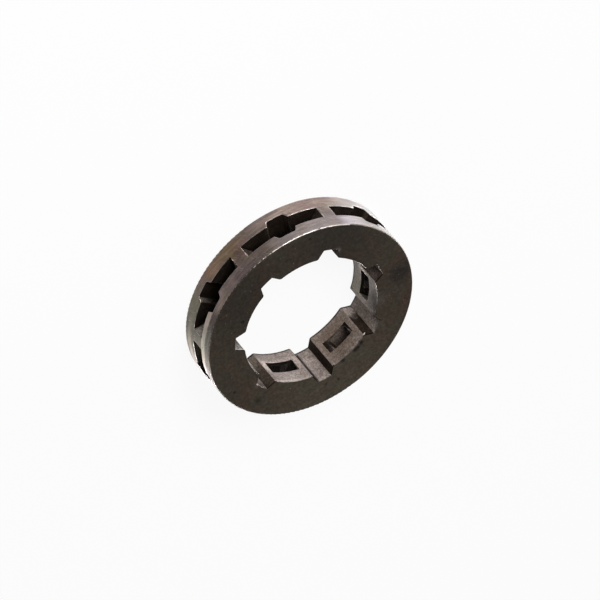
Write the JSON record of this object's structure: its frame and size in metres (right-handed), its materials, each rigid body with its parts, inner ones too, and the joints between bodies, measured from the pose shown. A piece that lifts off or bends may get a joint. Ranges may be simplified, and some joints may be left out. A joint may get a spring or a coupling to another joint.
{
  "type": "chainsaw rim sprocket",
  "caption": "Flat steel ring with wedge-shaped chain pockets round its rim and a splined bore, which drives a saw chain from the clutch drum.",
  "frame": {"origin": "middle of the back face, on the axis of the bore", "axes": "+Z along the axis from the back face to the front face, +X through the middle of one chain pocket"},
  "size_m": [0.038, 0.038, 0.008],
  "materials": {
    "cast_steel": "dark heat-treated steel, cast grain in the bore, flat faces and a turned outside"
  },
  "bodies": {
    "root": {"rim_sprocket": "cast_steel"}
  },
  "joints": []
}
